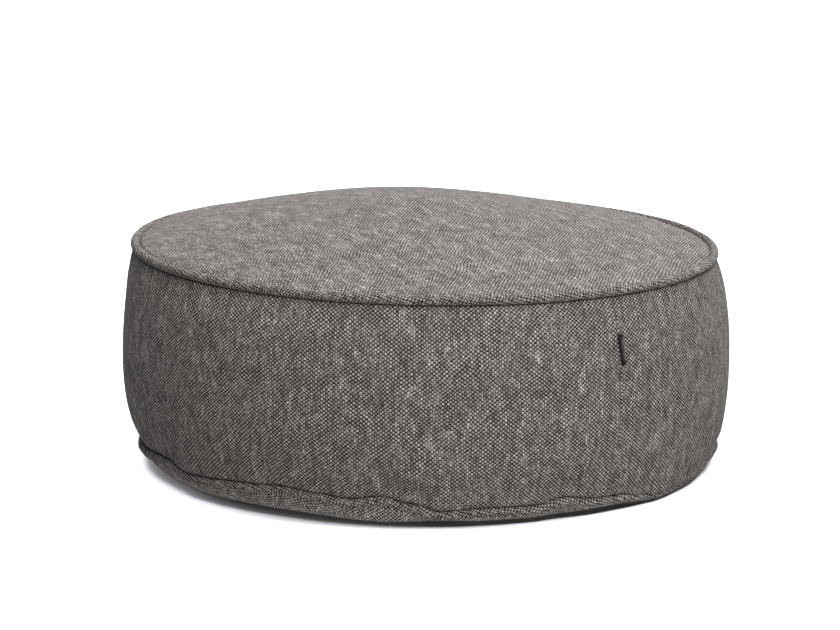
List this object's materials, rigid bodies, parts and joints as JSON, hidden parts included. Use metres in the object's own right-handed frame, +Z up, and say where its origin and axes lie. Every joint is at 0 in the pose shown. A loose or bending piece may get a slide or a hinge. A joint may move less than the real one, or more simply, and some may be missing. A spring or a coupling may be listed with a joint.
{
  "type": "garden pouf",
  "caption": "Round filled floor cushion in grey woven outdoor cloth: crowned top, bellied side, corded round seams and a bare folded tab in the side seam.",
  "frame": {"origin": "on the floor, under the middle of the pouf's outline", "axes": "+Z up, -Y towards the viewer of the picture, +X to the viewer's right; the joining seam with the tab is 37.4 degrees round from -Y towards +X"},
  "size_m": [0.809, 0.8099, 0.3544],
  "materials": {
    "band_cloth": "plain weave of pale and dark grey yarns, matt",
    "panel_cloth": "the same weave, its grain turned",
    "underside_cloth": "the same weave",
    "piping_cloth": "the same weave on the bias, over cord",
    "label_ribbon": "dense black ribbon, bare"
  },
  "bodies": {
    "root": {"side_band": "band_cloth", "top_panel": "panel_cloth", "bottom_panel": "underside_cloth", "top_piping": "piping_cloth", "bottom_piping": "piping_cloth", "side_label": "label_ribbon"}
  },
  "joints": []
}
